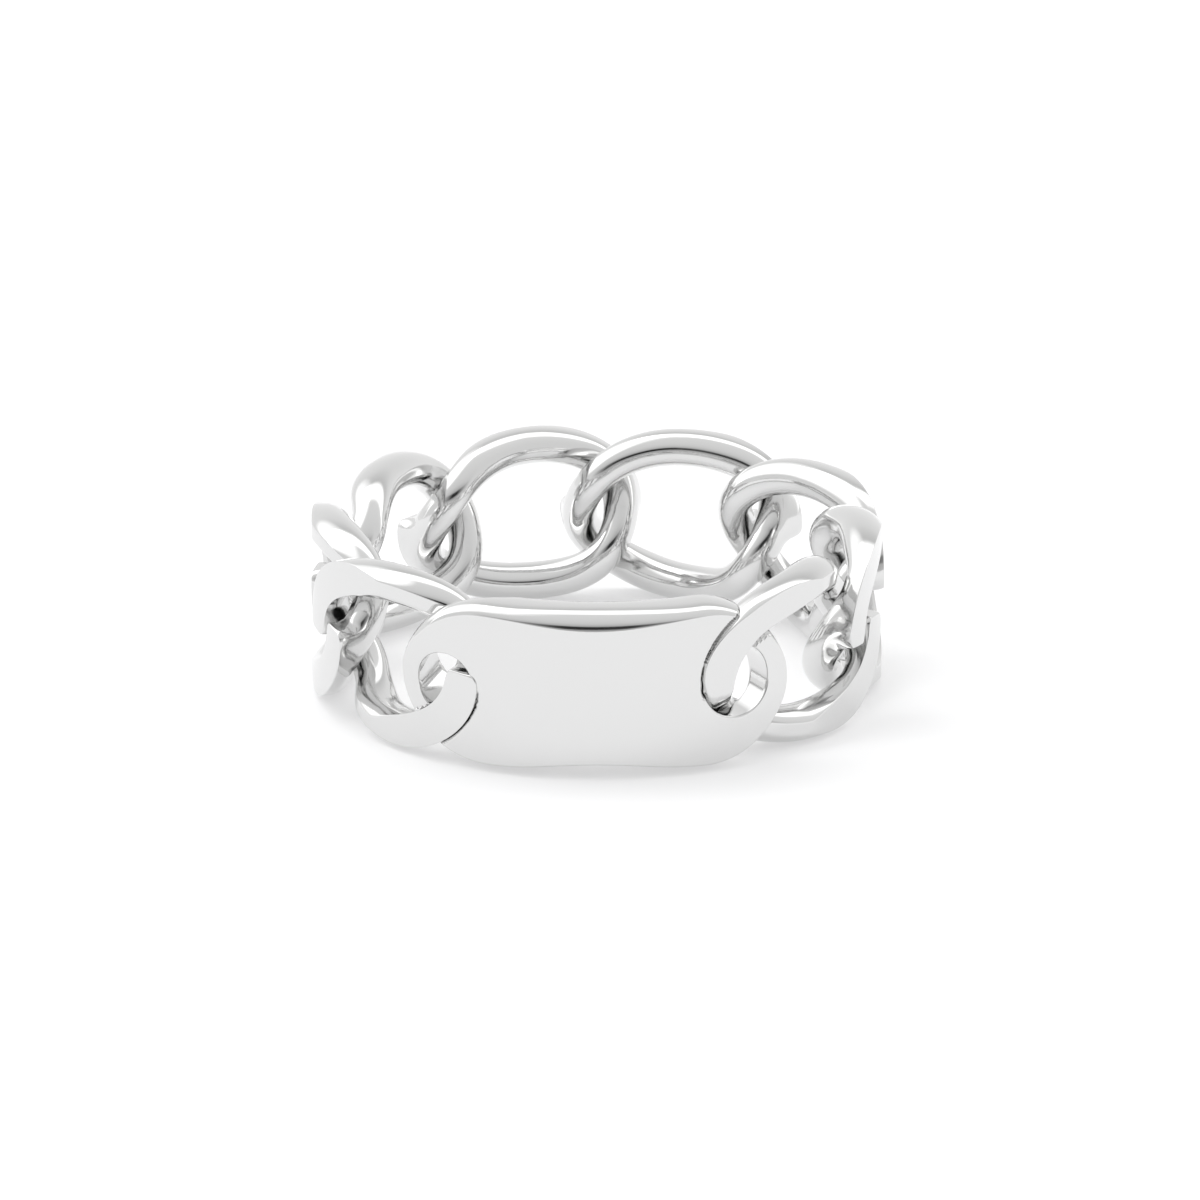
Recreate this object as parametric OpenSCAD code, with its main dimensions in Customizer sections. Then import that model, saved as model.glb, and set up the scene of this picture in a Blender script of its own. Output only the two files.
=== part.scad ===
// Curb-chain ring with a curved identity plate: eight twisted, flattened
// links and one plate, hooked into each other all the way round.
// Units are millimetres. Z is the finger axis, the plate faces -Y.

/* [Ring] */

// Radius inside the plate; the links' round inner sides reach 0.6 further in
bore_radius = 9.2; // [9.05:0.05:9.35]

// Thickness of the wall, from the bore to the outer surface
wall = 2; // [1.9:0.05:2.1]

// Height of the band from edge to edge
band_height = 7; // [6.8:0.1:7.4]

/* [Chain links] */

// Half the arc that a link's centreline spans, in degrees
link_half_arc = 23; // [22.8:0.1:23.2]

// Width of the wire at mid-link, seen from outside
wire_width = 1.42; // [1.36:0.02:1.44]

// Width of the wire at the link's two tips
tip_width = 1.38; // [1.34:0.02:1.4]

// Depth of the wire at mid-link, before its outside is filed flat
wire_depth = 1.66; // [1.5:0.02:1.8]

// Depth of the wire where the links cross and at the tips, before filing
tip_depth = 1.42; // [1.38:0.02:1.44]

// How far the twist carries the wire inward and outward
twist_offset = 0.78; // [0.76:0.01:0.82]

// How much of the twist sits near the tips
twist_sharpness = 0.3; // [0.2:0.05:0.4]

// How far inside mid wall the wire's centre runs, without the twist
line_inset = 0.1; // [0.08:0.01:0.14]

// Share by which the tips are fuller outward, so that they file flush with the face
tip_fill = 0.8; // [0.6:0.05:0.9]

// Squareness of the link's oval, 2 is an ellipse
oval_power = 2.1; // [2:0.05:2.2]

// Radius of the flatter curve that a link's outside is filed to
filing_radius = 14; // [13:0.2:15]

// How far that curve lies inside the wall's outer surface at mid-link
filing_inset = 0.2; // [0.1:0.05:0.25]

/* [Identity plate] */

// Angle from the plate's middle to the centre of a rounded end
plate_end_angle = 22.5; // [22:0.1:23]

// Radius of the plate's rounded ends along the band
plate_nose_radius = 3.35; // [3.2:0.05:3.45]

// Height of the plate at its rounded ends
plate_height = 6.5; // [6.4:0.05:6.6]

// How much the rounded ends bulge at their corners, as a share
nose_bulge = 0; // [0:0.01:0.08]

// How far the rounded top rim comes down the face beside the ends
rim_width = 0.4; // [0.3:0.05:0.6]

// How much further it comes down at the waist
rim_waist = 0.34; // [0:0.02:0.4]

// How far the top is rounded off towards the back
back_rim = 0.42; // [0.2:0.02:0.6]

// How far the bottom edge rises at the waist
lower_waist = 0.28; // [0:0.02:0.3]

// Width of the rounded bottom rim
lower_rim_width = 0.2; // [0.1:0.05:0.4]

// How far each end's face leans in under the wire that crosses it
end_setback = 0.45; // [0.3:0.05:0.6]

// How far each end's back leans out over the wire behind it
end_lift = 0.9; // [0.7:0.05:1]

/* [Plate holes] */

// Angle from the plate's middle to each hole
hole_angle = 30.3; // [30.1:0.1:30.5]

// Radius of each hole
hole_radius = 1.43; // [1.41:0.01:1.47]

// Slant of each hole, up or down from the radial line
hole_slant = 38; // [36:1:42]

/* [Fit] */

// Gap kept between the plate and the wires that cross it
seat_gap = 0.1; // [0.06:0.01:0.15]

// Thickness left for each wire where it crosses the plate
seat_wire = 1.06; // [1.03:0.01:1.08]

/* [Hidden] */

outer_radius = bore_radius + wall;
mid_radius = bore_radius + wall / 2;
mid_height = band_height / 2;
arc_mm = mid_radius * PI / 180;            // length of one degree at mid wall
half_wire = wire_width / 2;
link_reach = link_half_arc * arc_mm;       // centreline, along the band
link_rise = mid_height - half_wire;        // centreline, up the band

// Where the links sit round the ring, from the plate's middle
link_angles = [50, 86.8, 123.6, 160.8, 197.7, 234.5, 272, 309.2];
plate_angle = -0.6;

depth_grows = [0.7, 1];                    // from crossing depth to full, shares of the rise
mid_fill = 0.3;                            // how much fuller outward the wire is at full depth
fill_starts = [-0.15, 0.3];                // outward twist at which the tips fill and are full
fill_square = 0.4;                         // how much squarer the filled tips are
link_steps = 46;                           // stations round a link
wire_sides = 14;                           // points round the wire
bore_trim = 0.1;                           // plate stock that the bore takes off
trim = 3;                                  // overshoot of the cutting cylinders
fine = 180;                                // segments of a full turn

// Smooth step from 0 at lo to 1 at hi
function ease(lo, hi, x) =
    let (k = min(1, max(0, (x - lo) / (hi - lo)))) k * k * (3 - 2 * k);

// Signed power, for the superellipse
function spow(x, e) = sign(x) * pow(abs(x), e);

// Point of the ring at developed place s along, z up, radius r
function wrap(s, z, r) =
    let (a = s / arc_mm) [r * sin(a), -r * cos(a), z + mid_height];

// Closed skin over rings of equal point count, joined end to end as a loop
function loop_faces(rings, n) = [
    for (i = [0 : rings - 1], j = [0 : n - 1], half = [0, 1])
        let (a = i * n, b = ((i + 1) % rings) * n, k = (j + 1) % n)
            half == 0 ? [a + j, a + k, b + k] : [a + j, b + k, b + j]
];

// Link: centreline [s, z, radius] at angle t round the oval
function full_depth(t) = ease(depth_grows[0], depth_grows[1], abs(sin(t)));
function twist(t) = -twist_offset * sin(2 * t) * (1 + twist_sharpness * cos(2 * t));
function fill(t) = ease(fill_starts[0], fill_starts[1], twist(t)) * pow(cos(t), 2);
function link_line(t) = [
    link_reach * spow(cos(t), 2 / oval_power),
    link_rise * spow(sin(t), 2 / oval_power),
    mid_radius - line_inset + twist(t)
];

// Section of the wire at angle t, square to its centreline
function link_station(t) =
    let (
        c = link_line(t),
        d = link_line(t + 0.05) - link_line(t - 0.05),
        level = norm([d[0], d[1]]),
        whole = norm(d),
        half_width = half_wire + (tip_width / 2 - half_wire) * pow(cos(t), 4),
        half_depth = (tip_depth + (wire_depth - tip_depth) * full_depth(t)) / 2,
        outward = half_depth * (1 + tip_fill * fill(t) + mid_fill * full_depth(t)),
        square = 1 / (1 + fill_square * fill(t))
    )
    [for (j = [0 : wire_sides - 1])
        let (
            f = 360 * j / wire_sides,
            front = sin(f) > 0,
            u = half_width * (front ? spow(cos(f), square) : cos(f)),
            v = front ? outward * pow(sin(f), square) : half_depth * sin(f),
            along = -v * d[2] / whole
        )
        wrap(
            c[0] + (u * d[1] + along * d[0]) / level,
            c[1] + (along * d[1] - u * d[0]) / level,
            c[2] + v * level / whole
        )
    ];

// What is left of a link at the plate's middle once its outside is filed
module filed() {
    intersection() {
        children();
        translate([0, 0, -trim])
            cylinder(r = outer_radius, h = band_height + 2 * trim, $fn = fine);
        translate([0, filing_radius - outer_radius + filing_inset, -trim])
            cylinder(r = filing_radius, h = band_height + 2 * trim, $fn = fine);
    }
}

module finger_bore() {
    translate([0, 0, -trim])
        cylinder(r = bore_radius, h = band_height + 2 * trim, $fn = fine);
}

module link(angle) {
    rotate([0, 0, angle])
        filed()
            polyhedron(
                points = [for (i = [0 : link_steps - 1])
                    for (p = link_station((i + 0.5) * 360 / link_steps)) p],
                faces = loop_faces(link_steps, wire_sides)
            );
}

// Plate: each outline ray is [foot s, [direction], reach, rim width, back rim width]
half_plate = plate_end_angle * arc_mm;
half_height = plate_height / 2;
plate_drop = 0.095;                        // plate middle under link middle
edge_steps = 10;                           // rays along each straight edge
nose_steps = 26;                           // rays round each end
tip_rim = 0.06;                            // rim width at the very tip
rim_grows = [5, 45];                       // from tip width to full, degrees off the tip
back_grows = [20, 60];                     // the same for the back's rim
rim_start = -0.2;                          // depth share where the rim begins
rim_power = 2.6;                           // squareness of its rounding
rim_slope = 0.15;                          // share of it that runs straight down to the face
back_chamfer = 0.12;

function edge_ray(k, top) =
    let (
        s = half_plate * (2 * k / edge_steps - 1),
        waist = pow(cos(90 * s / half_plate), 2)
    )
    top ? [s, [0, 1], half_height, rim_width + rim_waist * waist, back_rim]
        : [-s, [0, -1], half_height - lower_waist * waist, lower_rim_width, back_chamfer];

function nose_ray(f, side) =
    let (
        reach = plate_nose_radius + (half_height - plate_nose_radius) * pow(sin(f), 2),
        rim = f * side > 0 ? rim_width : lower_rim_width,
        back = f * side > 0 ? back_rim : back_chamfer
    )
    [
        side * half_plate,
        side * [cos(f), sin(f)],
        reach * (1 + nose_bulge * pow(sin(2 * f), 2)),
        tip_rim + (rim - tip_rim) * ease(rim_grows[0], rim_grows[1], abs(f)),
        back_chamfer + (back - back_chamfer) * ease(back_grows[0], back_grows[1], abs(f))
    ];

rays = concat(
    [for (k = [0 : edge_steps - 1]) edge_ray(k, true)],
    [for (k = [0 : nose_steps - 1]) nose_ray(90 - 180 * k / nose_steps, 1)],
    [for (k = [0 : edge_steps - 1]) edge_ray(k, false)],
    [for (k = [0 : nose_steps - 1]) nose_ray(90 - 180 * k / nose_steps, -1)]
);

// 1 where a link's wire crosses the plate, 0 well outside it
function link_place(s) =
    (s > 0 ? link_angles[0] - plate_angle : 360 - link_angles[7] + plate_angle) * arc_mm;
seat_reach = link_reach + tip_width / 2 + seat_gap;
seat_rise = mid_height + seat_gap;
seat_blend = 0.07;
seat_slope = 0.45;                         // deeper towards the tip, as the wire is

function under_link(s, z) =
    1 - ease(1, 1 + seat_blend, norm([(abs(s) - link_place(s)) / seat_reach, z / seat_rise]));

// A wire crosses in front where s and z have one sign, behind elsewhere
seat_starts = [1.1, 1.7];                  // height at which a seat begins and is full
function in_front(s, z) = ease(seat_starts[0], seat_starts[1], sign(s) * z);

// Share of the plate end's lean towards that side
lean_rise = 1.5;                           // height over which the lean turns round
lean_starts = [0.65, 1.3];                 // where it begins and is full, shares of half_plate
function lean(s, z) = ease(-lean_rise, lean_rise, sign(s) * z);

// Plate skin radius at s, z (from link middle) and depth share f, -1 back, 1 face
function plate_radius(s, z, f) =
    let (
        near_end = ease(lean_starts[0] * half_plate, lean_starts[1] * half_plate, abs(s)),
        face = outer_radius - end_setback * near_end * lean(s, z),
        back = bore_radius - bore_trim + end_lift * lean(s, -z) * near_end,
        sink = seat_wire + seat_gap + seat_slope * max(0, abs(s) - hole_angle * arc_mm),
        front_seat = outer_radius - sink,
        back_seat = bore_radius + sink,
        outside = face + (front_seat - face) * under_link(s, z) * in_front(s, z),
        inside = back + (back_seat - back) * under_link(s, z) * in_front(s, -z)
    )
    inside + (outside - inside) * (f + 1) / 2;

function plate_point(ray, reach, f) =
    let (s = ray[0] + ray[1][0] * reach, z = ray[1][1] * reach - plate_drop)
    wrap(s, z, plate_radius(s, z, f));

// Rings from the back's middle over the rim to the face's middle:
// [depth, share inward, share of the rim, share of the back rim]
back_turn = [90 : -22.5 : 22.5];
face_turn = [0, 24, 42, 58, 72, 90];
rings = concat(
    [for (share = [0.02, 0.38, 0.52, 0.66, 0.8]) [-1, share, 0, 1]],
    [for (k = back_turn) [rim_start - (1 + rim_start) * sin(k), 1, 0, 1 - cos(k)]],
    [for (k = face_turn)
        let (x = pow(sin(k), 2 / rim_power), y = pow(cos(k), 2 / rim_power))
        [rim_start + (1 - rim_start) * (x - rim_slope * (x + y - 1)), 1, 1 - y, 0]],
    [for (share = [0.88, 0.76, 0.64, 0.52, 0.38, 0.02]) [1, share, 1, 0]]
);

function ring_points(ring) = [
    for (ray = rays)
        plate_point(ray, ring[1] * (ray[2] - ring[2] * ray[3] - ring[3] * ray[4]), ring[0])
];

// Strip across the innermost ring, between its two straight edges and fans at the noses
function strip_faces(base, turn) =
    let (n = len(rays), half = n / 2)
    concat(
        [for (k = [0 : edge_steps - 1])
            let (q = [k, k + 1, (n + half + edge_steps - k - 1) % n, (n + half + edge_steps - k) % n])
            [for (i = [0 : 3]) base + (turn ? q[3 - i] : q[i])]],
        [for (start = [edge_steps, half + edge_steps])
            [for (i = [0 : nose_steps]) base + (start + (turn ? nose_steps - i : i)) % n]]
    );

module plate_body() {
    n = len(rays);
    last = len(rings) - 1;
    polyhedron(
        points = [for (ring = rings, p = ring_points(ring)) p],
        faces = concat(
            [for (i = [0 : last - 1], j = [0 : n - 1], half = [0, 1])
                let (a = i * n, b = a + n, k = (j + 1) % n)
                half == 0 ? [a + j, a + k, b + k] : [a + j, b + k, b + j]],
            strip_faces(0, true),
            strip_faces(last * n, false)
        )
    );
}

// Slanting hole at the right (side 1) or left (side -1) end
module plate_hole(side) {
    reach = 1.5 * wall;
    rotate([0, 0, side * hole_angle])
        translate([0, -mid_radius, mid_height])
            rotate([90 - side * hole_slant, 0, 0])
                cylinder(r = hole_radius, h = 2 * reach, center = true, $fn = 72);
}

module id_plate() {
    color("gainsboro")
        rotate([0, 0, plate_angle])
            difference() {
                plate_body();
                finger_bore();
                plate_hole(1);
                plate_hole(-1);
            }
}

module link_1() { color("silver") link(link_angles[0]); }
module link_2() { color("silver") link(link_angles[1]); }
module link_3() { color("silver") link(link_angles[2]); }
module link_4() { color("silver") link(link_angles[3]); }
module link_5() { color("silver") link(link_angles[4]); }
module link_6() { color("silver") link(link_angles[5]); }
module link_7() { color("silver") link(link_angles[6]); }
module link_8() { color("silver") link(link_angles[7]); }

id_plate();
link_1();
link_2();
link_3();
link_4();
link_5();
link_6();
link_7();
link_8();
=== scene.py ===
"""Looks of the chain link ring: smooth polished-silver links and plate, a pale floor and a light
tent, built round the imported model. Lengths are millimetres until a mesh is made."""

import math

import bpy
import numpy as np
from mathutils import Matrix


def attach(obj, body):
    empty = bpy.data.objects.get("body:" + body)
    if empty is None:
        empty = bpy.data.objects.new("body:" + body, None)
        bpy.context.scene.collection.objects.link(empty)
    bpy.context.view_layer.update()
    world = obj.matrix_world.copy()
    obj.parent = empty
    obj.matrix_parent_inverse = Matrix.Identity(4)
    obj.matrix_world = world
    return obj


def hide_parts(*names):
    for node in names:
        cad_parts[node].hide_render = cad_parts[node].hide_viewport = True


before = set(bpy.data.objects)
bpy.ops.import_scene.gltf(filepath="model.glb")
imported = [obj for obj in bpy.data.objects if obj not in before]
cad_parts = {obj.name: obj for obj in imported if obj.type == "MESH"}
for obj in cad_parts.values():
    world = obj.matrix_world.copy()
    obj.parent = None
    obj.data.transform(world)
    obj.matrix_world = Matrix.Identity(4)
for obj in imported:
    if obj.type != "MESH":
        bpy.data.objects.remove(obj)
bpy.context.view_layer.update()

# Sizes of the ring, the same as in the construction
OUTER, BORE, HEIGHT = 11.2, 9.2, 7.0  # radius of the outside and inside the plate, and height
MID = (OUTER + BORE) / 2
ARC = MID * math.pi / 180  # length of one degree along the band
PLATE_ANGLE = -0.6
LINK_ANGLES = [50, 86.8, 123.6, 160.8, 197.7, 234.5, 272, 309.2]

# A link's wire and the oval that it follows, the same as in the construction
WIRE, TIP, TIP_POWER = 1.42, 1.38, 4  # width at mid-link and at the tips, and how late it falls
DEEP, THIN = 1.66, 1.42  # depth at mid-link, and where the links cross and at the tips
DEPTH_GROWS = (0.7, 1)  # from thin to deep, by the sine of the angle round the oval
REACH = 23 * ARC  # half length of the centreline
RISE = HEIGHT / 2 - WIRE / 2  # half height of the centreline
OVAL = 2.1  # power of the oval, where 2 is an ellipse
LINE_INSET = 0.1  # how far inside the band's middle the centreline runs
TWIST, SHARPNESS = 0.78, 0.3  # how far it swings out and in, and how much nearer to the tips
TIP_FILL, FILL_STARTS = 0.8, (-0.15, 0.3)  # extra outward depth near the tips, by the twist there
FILING, FILING_INSET = 14.0, 0.2  # the links' outsides are filed flatter than the ring itself

# The wire's outward side, nearer to the photo than in the construction
MID_FILL = 0.2  # extra outward depth at mid-link
FILL_SQUARE = 0.7  # how much squarer the filled tips are
FLAT_SHARE = 0.93  # a narrow flat runs all along, at this share of the outward depth
LEAST_SHARE = 0.05  # the filing leaves at least this share of it

# The first link's left half reaches further into the plate's right hole and lies deeper there
ENTRY_GROWS = (0, 0.8)  # from where this begins to where it is full, by minus the cosine
ENTRY_REACH = 0.4  # how much further along the band it reaches
ENTRY_LOWER, LOWER_GROWS = 0.3, (-0.1, 0.4)  # share of its outward twist lost, by that twist
ENTRY_FILL = 0.5  # share of its extra outward depth that is left
ENTRY_TURN = math.radians(14)  # its twist comes this much later

# Finish of a link's mesh
EDGE = 0.035  # rounding of the edges round the flats
STATIONS, FLAT_POINTS, ROUND_POINTS = 300, 12, 52  # round the link, and round its wire
NUDGE = 0.001  # angle to both sides over which the centreline's direction is measured


def ease(lo, hi, x):
    """Smooth step from 0 at lo to 1 at hi."""
    k = np.clip((x - lo) / (hi - lo), 0, 1)
    return k * k * (3 - 2 * k)


def signed_power(x, power):
    return np.sign(x) * np.abs(x) ** power


def soft_min(a, b):
    """The smaller of two lengths, rounded by EDGE where they meet."""
    h = np.maximum(EDGE - np.abs(a - b), 0) / EDGE
    return np.minimum(a, b) - h * h * EDGE / 4


def wrap(s, z, r):
    """Points at s along the band, z above its middle and radius r, with s = 0 in front."""
    return np.stack([r * np.sin(s / MID), -r * np.cos(s / MID), z + HEIGHT / 2], -1)


def turned(points, degrees):
    a = math.radians(degrees)
    x, y, z = points[..., 0], points[..., 1], points[..., 2]
    return np.stack([x * math.cos(a) - y * math.sin(a), x * math.sin(a) + y * math.cos(a), z], -1)


# Links


def entry(t):
    """Share by which the first link's left half differs, at angle t round the oval."""
    return ease(*ENTRY_GROWS, -np.cos(t))


def outward_twist(t, share):
    """How far the twist carries the wire outward, with the share of the first link's entry."""
    late = t - ENTRY_TURN * share
    twist = -TWIST * np.sin(2 * late) * (1 + SHARPNESS * np.cos(2 * late))
    return twist * (1 - ENTRY_LOWER * share * ease(*LOWER_GROWS, twist))


def link_line(t, first=False):
    """Centreline at angle t round the oval: along the band, up it, and radius."""
    share = entry(t) if first else 0 * t
    reach = REACH + ENTRY_REACH * share
    radius = MID - LINE_INSET + outward_twist(t, share)
    s = reach * signed_power(np.cos(t), 2 / OVAL)
    return s, RISE * signed_power(np.sin(t), 2 / OVAL), radius


def full_depth(t):
    """Share of the way from the thin depth to the deep one."""
    return ease(*DEPTH_GROWS, np.abs(np.sin(t)))


def wire_size(t):
    """Half width and half depth of the wire at angle t."""
    width = WIRE + (TIP - WIRE) * np.cos(t) ** TIP_POWER
    return width / 2, (THIN + (DEEP - THIN) * full_depth(t)) / 2


def fill(t, first=False):
    """How much fuller the outer half of the wire is near the tips, 0 to 1."""
    share = entry(t) if first else 0 * t
    full = ease(*FILL_STARTS, outward_twist(t, share)) * np.cos(t) ** 2
    return full * (1 - (1 - ENTRY_FILL) * share)


def filed(s):
    """Radius of a link's filed outside at s along the band from its middle."""
    back = FILING - OUTER + FILING_INSET
    curve = np.sqrt(FILING ** 2 - (back * np.sin(s / MID)) ** 2) - back * np.cos(s / MID)
    return soft_min(curve, OUTER)


def spaced(lo, hi, count):
    """Angles from lo up to hi, closer together at both ends, where the edges are."""
    w = np.arange(count) / count
    w = 0.5 - 0.5 * np.cos(math.pi * w)
    return lo + (hi - lo) * w


def link_points(first=False):
    """Rings of points round the wire, one for each station, of a link in front."""
    step = 2 * math.pi / STATIONS
    rings = []
    for i in range(STATIONS):
        t = (i + 0.5) * step
        s, z, r = link_line(t, first)
        before, after = np.array([link_line(t + nudge, first) for nudge in (-NUDGE, NUDGE)])
        step_s, step_z, step_r = after - before
        level = math.hypot(step_s, step_z)
        whole = math.hypot(level, step_r)
        ahead = np.array([step_s, step_z]) / level
        width, depth = wire_size(t)
        full = fill(t, first)
        outward = depth * (1 + TIP_FILL * full + MID_FILL * full_depth(t))
        square = 1 / (1 + FILL_SQUARE * full)
        share = (filed(s) - r) * whole / (outward * level)
        share = min(FLAT_SHARE, max(LEAST_SHARE, share))
        top = math.asin(share ** (1 / square))  # where the round side meets the flat
        f = np.concatenate([
            spaced(top, math.pi - top, FLAT_POINTS),
            spaced(math.pi - top, 2 * math.pi + top, ROUND_POINTS),
        ])
        is_outward = np.sin(f) > 0
        u = width * np.where(is_outward, signed_power(np.cos(f), square), np.cos(f))
        v = np.where(is_outward, outward * signed_power(np.sin(f), square), depth * np.sin(f))
        v = soft_min(v, outward * FLAT_SHARE)
        along = -v * step_r / whole
        s = s + u * ahead[1] + along * ahead[0]
        z = z - u * ahead[0] + along * ahead[1]
        rings.append(wrap(s, z, soft_min(r + v * level / whole, filed(s))))
    return np.array(rings)


# Plate

HALF_PLATE = 22.5 * ARC  # from the plate's middle to the centre of each round end
NOSE, HALF_HIGH = 3.35, 3.255  # radius of the ends at the tips, and half height
DROP = 0.095  # the plate's middle lies this much under the links' middle
LOWER_WAIST = 0.28  # the lower edge curves up by this at the middle

# Rounding from the face to the outline, by its width
RIM, LOWER_RIM, TIP_RIM = 0.4, 0.2, 0.06  # at the top edge, the lower edge and the tips
WAIST = 0.34  # how much wider the top edge's is at the middle
RIM_GROWS = (5, 45)  # from the tips' width to the edges', in degrees off the tip
RIM_START = -0.2  # depth at which it meets the back's, where -1 is the back and 1 the face
RIM_POWER, RIM_SLOPE = 2.6, 0.15  # its squareness, and the share of it that is a straight slope
RIM_STEPS = 30  # rows of it
FACE_SHARES = (1.035, 1.09)  # two more rows on the face, by their distance as a share of the rim

# Rounding from the back to the outline
BACK_RIM, BACK_EDGE = 0.42, 0.12  # its width at the top edge, and elsewhere
BACK_GROWS = (20, 60)  # between the two, in degrees off the tip
BACK_STEPS = 15  # rows of it

# The ends' face is set back where a wire passes in front of it, and their back is lifted where one
# passes behind
END_GROWS = (0.65 * HALF_PLATE, 1.3 * HALF_PLATE)  # where this begins and where it is full
LEAN = 1.5  # height over which the one turns into the other
SETBACK, LIFT = 0.16, 0.9
STOCK = 0.1  # the lift shows once it is more than this
LEAST_WALL = 0.12  # what a seat leaves of the wall

# The holes and the seats for the wires that pass through them
HOLES = {1: (29.0, 1.42, 0), -1: (30.8, 1.22, 16)}  # place, radius and slant, right and left
HOLE_EDGE = 0.06  # rounding of their edges
EDGE_SHARES = (0.12, 0.29, 0.55, 1)  # rows of that rounding, by their depth
GAP = 0.01  # room round a wire
SEAT_EDGE = 0.02  # a seat runs out over this width
SEAT_GROWS = (0.05, 0.3)  # how far off the band's middle a wire is where its seat begins, is full
SKIN_RANGE = (1.6, 4.0)  # a skin is looked for this far beyond the band's middle, and before it
HALVINGS = 34  # of that range

# Finish of the plate's mesh
NECK = 1.6  # the end regions start this far from the plate's middle
EDGE_STEPS, NECK_STEPS, NOSE_STEPS = 22, 28, 96  # rays past the middle, across it, round an end
ROWS, HOLE_RINGS, WALL_STEPS = 34, 54, 10  # up the middle, round a hole and through it
HOLE_POINTS = 240  # places round a hole at which its edge is measured
LINE_POINTS = 1440  # places along a centreline that the plate is measured from
BATCH = 4000  # places of the plate measured at once

TURNS = np.linspace(0, 2 * math.pi, LINE_POINTS + 1)[:-1]
LINES = {1: np.stack(link_line(TURNS, True), -1), -1: np.stack(link_line(TURNS), -1)}
LINK_AT = {
    1: (LINK_ANGLES[0] - PLATE_ANGLE) * ARC,
    -1: -(360 - LINK_ANGLES[-1] + PLATE_ANGLE) * ARC,
}


def wire_over(s, z):
    """How the linked wire lies at each place of the plate: distance from its centreline, its
    half width and half depth, and the radius its centre runs at."""
    s, z = np.broadcast_arrays(s, z)
    flat_s, flat_z = s.ravel(), z.ravel()
    x = flat_s - np.where(flat_s > 0, LINK_AT[1], LINK_AT[-1])
    dist, turn, level = np.empty((3, len(x)))
    for side, line in LINES.items():
        chosen = np.flatnonzero((flat_s > 0) == (side > 0))
        for a in range(0, len(chosen), BATCH):
            part = chosen[a:a + BATCH]
            apart = np.hypot(x[part, None] - line[:, 0], flat_z[part, None] - line[:, 1])
            best = apart.argmin(1)
            dist[part] = apart.min(1)
            turn[part] = TURNS[best]
            level[part] = line[best, 2]
    width, depth = wire_size(turn)
    return [v.reshape(s.shape) for v in (dist, width, depth, level)]


def lean(s, z):
    """Share of the end's setback at s, z: full at the top right and the lower left."""
    return ease(-LEAN, LEAN, np.sign(s) * z)


def plate_skins(s, z):
    """Outer and inner radius of the plate at s, z, with a seat under each crossing wire."""
    near_end = ease(*END_GROWS, np.abs(s))
    face = OUTER - SETBACK * near_end * lean(s, z)
    back = np.maximum(BORE, BORE - STOCK + LIFT * near_end * lean(s, -z))
    dist, width, depth, level = wire_over(s, z)
    width = width + GAP
    deep = (depth + GAP) * np.sqrt(np.maximum(0, 1 - (dist / width) ** 2))
    cover = 1 - ease(width, width + SEAT_EDGE, dist)
    front = cover * ease(MID + SEAT_GROWS[0], MID + SEAT_GROWS[1], level)
    behind = cover * ease(MID - SEAT_GROWS[0], MID - SEAT_GROWS[1], level)
    face = face - front * np.maximum(0, face - (level - deep))
    back = back + behind * np.maximum(0, level + deep - back)
    return np.maximum(face, back + LEAST_WALL), back


def plate_rays():
    """Outline rays, clockwise from the top left: foot along s, direction, reach, and width of the
    rounding towards the face and towards the back."""
    edge = np.concatenate([
        np.linspace(-HALF_PLATE, -NECK, EDGE_STEPS + 1)[:-1],
        np.linspace(-NECK, NECK, NECK_STEPS + 1)[:-1],
        np.linspace(NECK, HALF_PLATE, EDGE_STEPS + 1)[:-1],
    ])
    up, one = np.tile([0.0, 1.0], (len(edge), 1)), np.ones(len(edge))
    waist = np.cos(math.pi / 2 * edge / HALF_PLATE) ** 2
    f = math.pi / 2 - math.pi * np.arange(NOSE_STEPS) / NOSE_STEPS
    fan = np.stack([np.cos(f), np.sin(f)], -1)
    nose = NOSE + (HALF_HIGH - NOSE) * np.sin(f) ** 2

    def end_rim(is_upper, tip, upper, lower, grows):
        return tip + (np.where(is_upper, upper, lower) - tip) * ease(*grows, np.degrees(np.abs(f)))

    foot = [edge, 0 * f + HALF_PLATE, -edge, 0 * f - HALF_PLATE]
    way = [up, fan, -up, -fan]
    reach = [HALF_HIGH * one, nose, HALF_HIGH - LOWER_WAIST * waist[::-1], nose]
    rim = [RIM + WAIST * waist, end_rim(f > 0, TIP_RIM, RIM, LOWER_RIM, RIM_GROWS)]
    rim += [LOWER_RIM * one, end_rim(f < 0, TIP_RIM, RIM, LOWER_RIM, RIM_GROWS)]
    back_rim = [BACK_RIM * one, end_rim(f > 0, BACK_EDGE, BACK_RIM, BACK_EDGE, BACK_GROWS)]
    back_rim += [BACK_EDGE * one, end_rim(f < 0, BACK_EDGE, BACK_RIM, BACK_EDGE, BACK_GROWS)]
    return [np.concatenate(parts) for parts in (foot, way, reach, rim, back_rim)]


FOOT, WAY, REACHES, RIMS, BACK_RIMS = plate_rays()


def outline(rim_share, back_share):
    """Points s, z of the outline, moved inward by a share of the face's or the back's rim."""
    reach = REACHES - RIMS * rim_share - BACK_RIMS * back_share
    return np.stack([FOOT + WAY[:, 0] * reach, WAY[:, 1] * reach - DROP], -1)


class Skin:
    """Vertices and faces gathered into one mesh."""

    def __init__(self):
        self.points, self.faces, self.total = [], [], 0

    def add(self, points):
        """Adds points and returns their numbers."""
        points = np.asarray(points, float).reshape(-1, 3)
        self.points.append(points)
        self.total += len(points)
        return np.arange(self.total - len(points), self.total)

    def strips(self, rows, closed, flip=False):
        """Quads between rows of vertex numbers."""
        for a, b in zip(rows, rows[1:]):
            n = len(a) if closed else len(a) - 1
            i = np.arange(n)
            k = (i + 1) % len(a)
            quads = np.stack([a[i], a[k], b[k], b[i]], -1)
            self.faces.append(quads[:, ::-1] if flip else quads)


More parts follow.
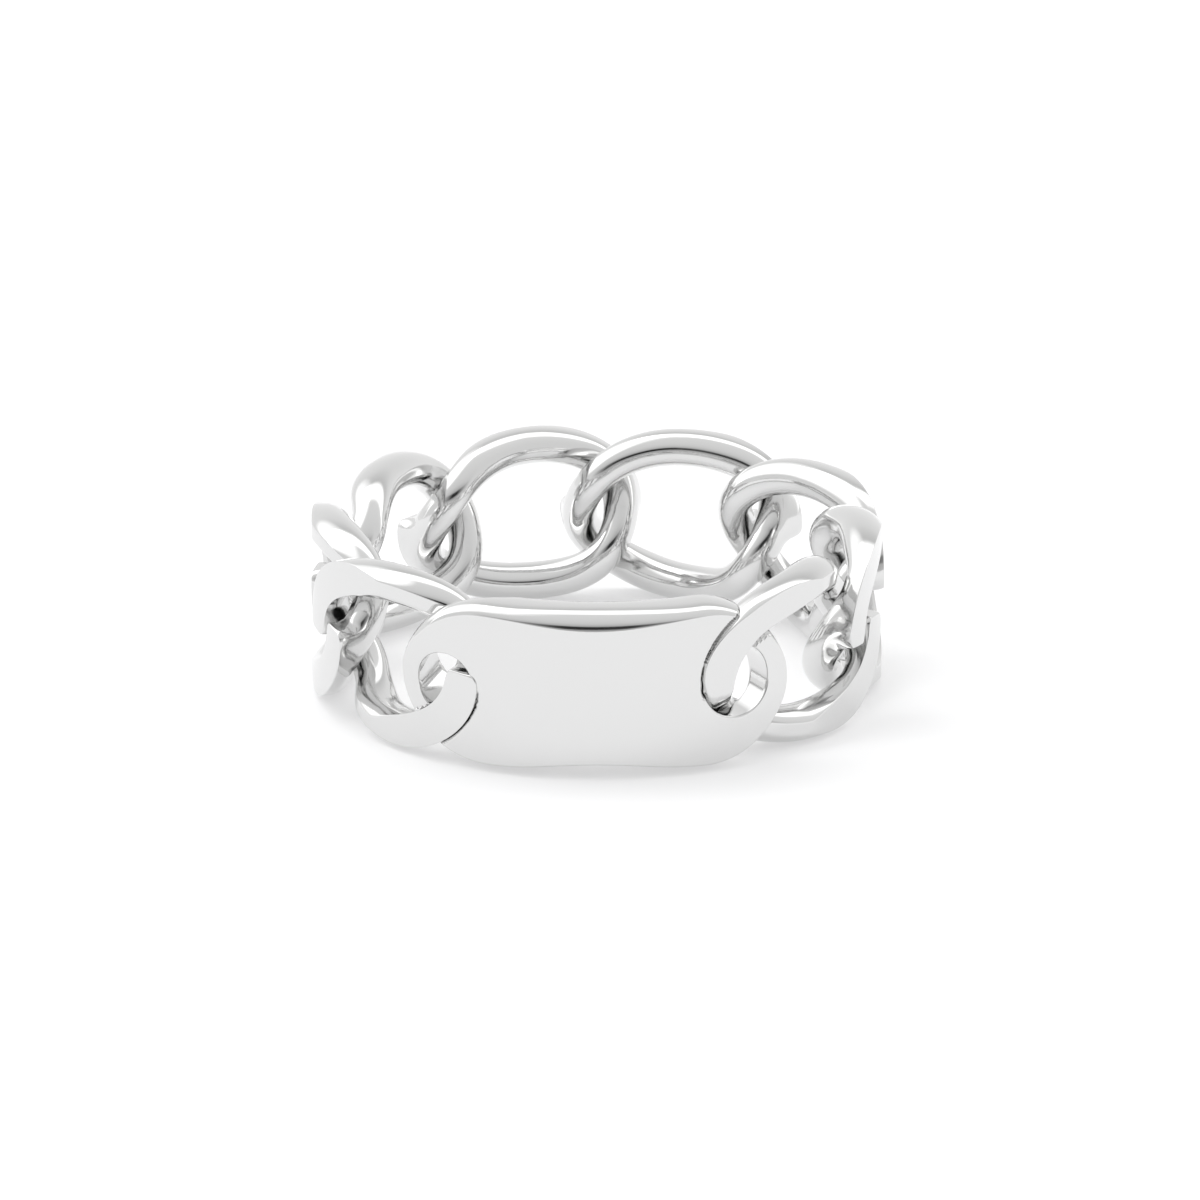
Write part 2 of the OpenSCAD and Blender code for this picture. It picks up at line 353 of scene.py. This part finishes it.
def hole_point(side, around, along, radius):
    """s, z, r of points on the slanting hole's cylinder."""
    place, _, slant = HOLES[side]
    tilt = math.radians(slant) * side
    x = radius * np.cos(around)
    y = -MID + radius * np.sin(around) * math.sin(tilt) - along * math.cos(tilt)
    z = radius * np.sin(around) * math.cos(tilt) + along * math.sin(tilt)
    a = np.arctan2(x, -y) + math.radians(side * place)
    return a * MID, z, np.hypot(x, y)


def hole_depth(side, around, radius, outer):
    """How far along the hole's axis each line of its cylinder meets the outer or inner skin."""
    past, before = SKIN_RANGE
    lo = np.full(len(around), -past if outer else -before)
    hi = np.full(len(around), before if outer else past)
    for _ in range(HALVINGS):
        mid = (lo + hi) / 2
        s, z, r = hole_point(side, around, mid, radius)
        beyond = r > plate_skins(s, z)[0 if outer else 1]
        hi = np.where(beyond, mid, hi)
        lo = np.where(beyond, lo, mid)
    return (lo + hi) / 2


def hole_edge(side, around, outer):
    """s, z of the hole's edge on the outer or inner skin."""
    radius = HOLES[side][1] + HOLE_EDGE
    s, z, _ = hole_point(side, around, hole_depth(side, around, radius, outer), radius)
    return s, z


def end_region(skin, side, outer, border, loop):
    """Rings from the hole's edge to the region's border, whose vertices are the loop. Returns each
    border vertex's angle round the hole, and the vertices of the hole's edge."""
    dense = np.linspace(0, 2 * math.pi, HOLE_POINTS + 1)[:-1]
    s, z = hole_edge(side, dense, outer)
    centre = (s.mean(), z.mean())
    polar = np.unwrap(np.arctan2(z - centre[1], s - centre[0]))
    sweep = 1 if polar[-1] > polar[0] else -1
    want = np.arctan2(border[:, 1] - centre[1], border[:, 0] - centre[0])
    low = polar.min()
    want = low + np.mod(want - low, 2 * math.pi)
    order = np.concatenate([polar, [polar[0] + sweep * 2 * math.pi]])
    turn = np.concatenate([dense, [2 * math.pi]])
    around = np.interp(want, order[::sweep], turn[::sweep])
    edge_s, edge_z = hole_edge(side, around, outer)
    w = (np.arange(HOLE_RINGS) / HOLE_RINGS)[:, None]
    s = edge_s + (border[:, 0] - edge_s) * w
    z = edge_z + (border[:, 1] - edge_z) * w
    r = plate_skins(s, z)[0 if outer else 1]
    rows = [skin.add(wrap(s[i], z[i], r[i])) for i in range(HOLE_RINGS)] + [loop]
    skin.strips(rows, True, flip=not outer)
    return around, rows[0]


def hole_wall(skin, side, front, behind):
    """The hole's wall between its two edges, each rounded a little."""
    radius = HOLES[side][1]
    around_a, row_a = front
    around_b, row_b = behind
    turns = np.round((around_b - around_a) / (2 * math.pi))
    around_b = around_b - turns * 2 * math.pi
    deep_a = hole_depth(side, around_a, radius + HOLE_EDGE, True)
    deep_b = hole_depth(side, around_b, radius + HOLE_EDGE, False)

    def ring(around, along, wider=0):
        return skin.add(wrap(*hole_point(side, around, along, radius + HOLE_EDGE * wider)))

    falls = [1 - math.sqrt(1 - (1 - share) ** 2) for share in EDGE_SHARES]
    edge = list(zip(EDGE_SHARES, falls))
    rows = [row_a]
    rows += [ring(around_a, deep_a - HOLE_EDGE * share, fall) for share, fall in edge]
    for w in np.arange(1, WALL_STEPS) / WALL_STEPS:
        along = (deep_a - HOLE_EDGE) * (1 - w) + (deep_b + HOLE_EDGE) * w
        rows.append(ring(around_a * (1 - w) + around_b * w, along))
    rows += [ring(around_b, deep_b + HOLE_EDGE * share, fall) for share, fall in edge[::-1]]
    skin.strips(rows + [row_b], True, flip=True)


def plate_rim(skin):
    """The rim's rows of vertices, from the back's edge to the face's."""
    levels = []  # depth from -1 to 1, and the shares of the face's and the back's rim
    for k in np.linspace(0, math.pi / 2, BACK_STEPS):
        x = math.cos(k)
        levels.append((RIM_START - (1 + RIM_START) * x, 0, 1 - math.sqrt(1 - x * x)))
    for k in np.linspace(0, math.pi / 2, RIM_STEPS + 1)[1:]:
        x, y = math.sin(k) ** (2 / RIM_POWER), max(0, math.cos(k)) ** (2 / RIM_POWER)
        slope = x - RIM_SLOPE * (x + y - 1)
        levels.append((RIM_START + (1 - RIM_START) * slope, 1 - y, 0))
    levels += [(1, share, 0) for share in FACE_SHARES]
    rows = []
    for depth, rim_share, back_share in levels:
        s, z = outline(rim_share, back_share).T
        face, back = plate_skins(s, z)
        rows.append(skin.add(wrap(s, z, back + (face - back) * (depth + 1) / 2)))
    skin.strips(rows, True, flip=True)
    return rows


def plate_skin(skin, outer, edge_row):
    """The face or the back: a grid across the middle and a region round each hole. Returns what
    end_region says of the right and left hole."""
    at = outline(FACE_SHARES[-1], 0) if outer else outline(0, 1)
    neck = np.arange(EDGE_STEPS, EDGE_STEPS + NECK_STEPS + 1)  # rays along the middle's top
    low_neck = neck[::-1] + 2 * EDGE_STEPS + NECK_STEPS + NOSE_STEPS  # and along its lower edge
    share = np.arange(ROWS + 1)[:, None, None] / ROWS
    grid = at[low_neck] + (at[neck] - at[low_neck]) * share
    s, z = grid[1:-1, :, 0], grid[1:-1, :, 1]
    r = plate_skins(s, z)[0 if outer else 1]
    inside = [skin.add(wrap(s[i], z[i], r[i])) for i in range(ROWS - 1)]
    skin.strips([edge_row[low_neck]] + inside + [edge_row[neck]], False, flip=not outer)
    right = np.arange(neck[-1], low_neck[-1] + 1)
    left = np.concatenate([np.arange(low_neck[0], len(at)), np.arange(neck[0] + 1)])
    ends = {}
    # The grid's outer column closes the border, upward at the right and downward at the left
    for side, part, column, up in ((1, right, -1, 1), (-1, left, 0, -1)):
        loop = np.concatenate([edge_row[part], [row[column] for row in inside][::up]])
        border = np.concatenate([at[part], grid[1:-1, column][::up]])
        ends[side] = end_region(skin, side, outer, border, loop)
    return ends


def plate_mesh():
    """The plate's rim, face, back and the walls of its holes."""
    skin = Skin()
    rows = plate_rim(skin)
    front = plate_skin(skin, True, rows[-1])
    behind = plate_skin(skin, False, rows[0])
    for side in (1, -1):
        hole_wall(skin, side, front[side], behind[side])
    return skin


# Materials


def nodes_of(name):
    """A new material, with its nodes and links."""
    mat = bpy.data.materials.new(name)
    mat.use_nodes = True
    return mat, mat.node_tree.nodes, mat.node_tree.links


def set_inputs(node, values):
    for name, value in values.items():
        node.inputs[name].default_value = value


def silver():
    """Mirror-polished silver with the faint haze and waves that polishing leaves."""
    mat, nodes, links = nodes_of("polished_silver")
    body = nodes["Principled BSDF"]
    set_inputs(body, {"Metallic": 1.0, "Base Color": (0.72, 0.72, 0.717, 1)})
    where = nodes.new("ShaderNodeTexCoord")
    haze = nodes.new("ShaderNodeTexNoise")
    set_inputs(haze, {"Scale": 900.0, "Detail": 3.0})
    span = nodes.new("ShaderNodeMapRange")
    set_inputs(span, {"From Min": 0.3, "From Max": 0.7, "To Min": 0.09, "To Max": 0.13})
    links.new(where.outputs["Object"], haze.inputs["Vector"])
    links.new(haze.outputs["Fac"], span.inputs["Value"])
    links.new(span.outputs["Result"], body.inputs["Roughness"])
    wave = nodes.new("ShaderNodeTexNoise")
    set_inputs(wave, {"Scale": 420.0, "Detail": 1.0})
    bump = nodes.new("ShaderNodeBump")
    set_inputs(bump, {"Strength": 0.05, "Distance": 0.0001})
    links.new(where.outputs["Object"], wave.inputs["Vector"])
    links.new(wave.outputs["Fac"], bump.inputs["Height"])
    links.new(bump.outputs["Normal"], body.inputs["Normal"])
    return mat


def pale_floor_painted_glow():
    """A dull, pale floor with a faint painted glow, which lightens the shadows on it."""
    mat, nodes, links = nodes_of("pale_floor_painted_glow")
    body = nodes["Principled BSDF"]
    set_inputs(body, {"Roughness": 0.9, "Specular IOR Level": 0.1})
    # Painted light: the floor glows a little by itself, so the shade round and under the ring is
    # lighter
    set_inputs(body, {"Emission Color": (1, 1, 1, 1), "Emission Strength": 0.4})
    where = nodes.new("ShaderNodeTexCoord")
    grain = nodes.new("ShaderNodeTexNoise")
    set_inputs(grain, {"Scale": 60.0})
    tint = nodes.new("ShaderNodeValToRGB")
    tint.color_ramp.elements[0].color = (0.595, 0.595, 0.6, 1)
    tint.color_ramp.elements[1].color = (0.605, 0.605, 0.61, 1)
    links.new(where.outputs["Object"], grain.inputs["Vector"])
    links.new(grain.outputs["Fac"], tint.inputs["Fac"])
    links.new(tint.outputs["Color"], body.inputs["Base Color"])
    return mat


# Pieces


def add_object(name, mesh, material):
    mesh.materials.append(material)
    thing = bpy.data.objects.new(name, mesh)
    bpy.context.scene.collection.objects.link(thing)
    return thing


def make_piece(name, points, faces, material, node):
    """A smooth piece that stands for a node of the construction."""
    mesh = bpy.data.meshes.new(name)
    mesh.from_pydata((points / 1000).tolist(), [], faces.tolist())
    mesh.shade_smooth()
    mesh.update()
    piece = add_object(name, mesh, material)
    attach(piece, "root")
    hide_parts(node)


def tube_faces(rings, around):
    """Quads of a tube that closes on itself, from rings of points."""
    i, j = np.meshgrid(np.arange(rings), np.arange(around), indexing="ij")
    i2, j2 = (i + 1) % rings, (j + 1) % around
    corners = [i * around + j, i * around + j2, i2 * around + j2, i2 * around + j]
    return np.stack(corners, -1).reshape(-1, 4)


def make_links(metal):
    """Eight links of one shape, but for the first one's entry."""
    one_link, first_link = link_points(), link_points(first=True)
    faces = tube_faces(*one_link.shape[:2])
    for number, angle in enumerate(LINK_ANGLES, 1):
        points = turned(first_link if number == 1 else one_link, angle).reshape(-1, 3)
        make_piece(f"silver_link_{number}", points, faces, metal, f"link_{number}")


def make_plate(metal):
    skin = plate_mesh()
    points = turned(np.concatenate(skin.points), PLATE_ANGLE)
    make_piece("silver_plate", points, np.concatenate(skin.faces), metal, "id_plate")


metal = silver()
make_links(metal)
make_plate(metal)

# Floor, in metres, a hair under the ring
FLOOR, UNDER = 3, 1e-5
corners = [(-FLOOR, -FLOOR), (FLOOR, -FLOOR), (FLOOR, FLOOR), (-FLOOR, FLOOR)]
ground = bpy.data.meshes.new("floor")
ground.from_pydata([(x, y, -UNDER) for x, y in corners], [], [(0, 1, 2, 3)])
floor = add_object("floor", ground, pale_floor_painted_glow())

# The light tent: brightness by degrees from the front horizon (0) over the top (90) to the back
# (180), and under the horizon down to -180
TENT = 1.8  # the brightest of it
BANDS = [
    (-180, 1.1), (-20, 1.0), (0, 0.85), (60, 0.85), (99, 0.92), (105, 1.8), (122, 1.8),
    (128, 0.65), (134, 0.75), (146, 0.9), (165, 0.97), (179.9, 1.0),
]
# A dark line low in front of the ring: how much it takes away, by degrees above the horizon
LINE_BANDS = [
    (-90, 0.0), (-1, 0.0), (0, 0.4), (12, 0.45), (15, 0.97), (25, 0.97), (28, 0.4), (42, 0.1),
    (60, 0.0),
]
LINE_FULL, LINE_FADE = math.radians(10), math.radians(45)  # full so far aside, then fades by this
# A softbox at the upper left
LAMP_WAY = (-0.65, 0.25, 0.72)
LAMP_EDGES = (math.radians(26), math.radians(38))  # angles off its middle where it is full, gone
LAMP_GAIN = 0.9


def surround():
    """The world: the tent, less its dark line in front, and brighter at the softbox."""
    world = bpy.data.worlds.new("light_tent")
    bpy.context.scene.world = world
    world.use_nodes = True
    nodes, links = world.node_tree.nodes, world.node_tree.links
    sky = nodes["Background"]
    where = nodes.new("ShaderNodeTexCoord")
    split = nodes.new("ShaderNodeSeparateXYZ")
    links.new(where.outputs["Generated"], split.inputs["Vector"])
    right, back, up = (split.outputs[axis] for axis in "XYZ")

    def maths(operation, *values):
        node = nodes.new("ShaderNodeMath")
        node.operation = operation
        for socket, value in zip(node.inputs, values):
            if isinstance(value, float):
                socket.default_value = value
            else:
                links.new(value, socket)
        return node.outputs[0]

    def held(value):
        return maths("MINIMUM", maths("MAXIMUM", value, 0.0), 1.0)

    def ramp(share, stops):
        node = nodes.new("ShaderNodeValToRGB")
        links.new(share, node.inputs["Fac"])
        marks = node.color_ramp.elements
        while len(marks) > 1:
            marks.remove(marks[-1])
        marks[0].position = stops[0][0]
        for k, (place, level) in enumerate(stops):
            mark = marks.new(place) if k else marks[0]
            mark.color = (level, level, level, 1)
        return node.outputs["Color"]

    forward = maths("MULTIPLY", back, -1.0)
    turn = maths("MULTIPLY_ADD", maths("ARCTAN2", up, forward), 0.5 / math.pi, 0.5)
    tent = ramp(turn, [((d + 180) / 360, level / TENT) for d, level in BANDS])
    rise = maths("MULTIPLY_ADD", up, 0.5, 0.5)
    low = ramp(rise, [((math.sin(math.radians(d)) + 1) / 2, level) for d, level in LINE_BANDS])
    aside = maths("ABSOLUTE", maths("ARCTAN2", right, forward))
    facing = maths("MULTIPLY_ADD", aside, -1 / LINE_FADE, 1 + LINE_FULL / LINE_FADE)
    shade = maths("SUBTRACT", 1.0, maths("MULTIPLY", held(facing), low))
    toward = maths("MULTIPLY", right, LAMP_WAY[0])
    toward = maths("MULTIPLY_ADD", back, LAMP_WAY[1], toward)
    toward = maths("MULTIPLY_ADD", up, LAMP_WAY[2], toward)
    full, dark = (math.cos(edge) for edge in LAMP_EDGES)
    lit = maths("MULTIPLY_ADD", toward, 1 / (full - dark), -dark / (full - dark))
    gain = maths("MULTIPLY_ADD", held(lit), LAMP_GAIN, 1.0)
    links.new(tent, sky.inputs["Color"])
    links.new(maths("MULTIPLY", gain, maths("MULTIPLY", shade, TENT)), sky.inputs["Strength"])


surround()
bpy.context.scene.view_settings.view_transform = "Standard"

# Camera, fitted to the photo
ELEVATION, DISTANCE = math.radians(19.7), 500.0
SCALE, PHOTO = 25.85, 1200  # pixels of the photo to a millimetre at the ring, and across it
SENSOR = 36
lens = bpy.data.cameras.new("camera")
lens.sensor_width = SENSOR
lens.lens = SENSOR * DISTANCE * SCALE / PHOTO
lens.shift_x, lens.shift_y = 0.0025, 0.067
camera = bpy.data.objects.new("camera", lens)
camera.location = np.array([0, -math.cos(ELEVATION), math.sin(ELEVATION)]) * DISTANCE / 1000
camera.rotation_euler = (math.pi / 2 - ELEVATION, 0, 0)
bpy.context.scene.collection.objects.link(camera)
bpy.context.scene.camera = camera
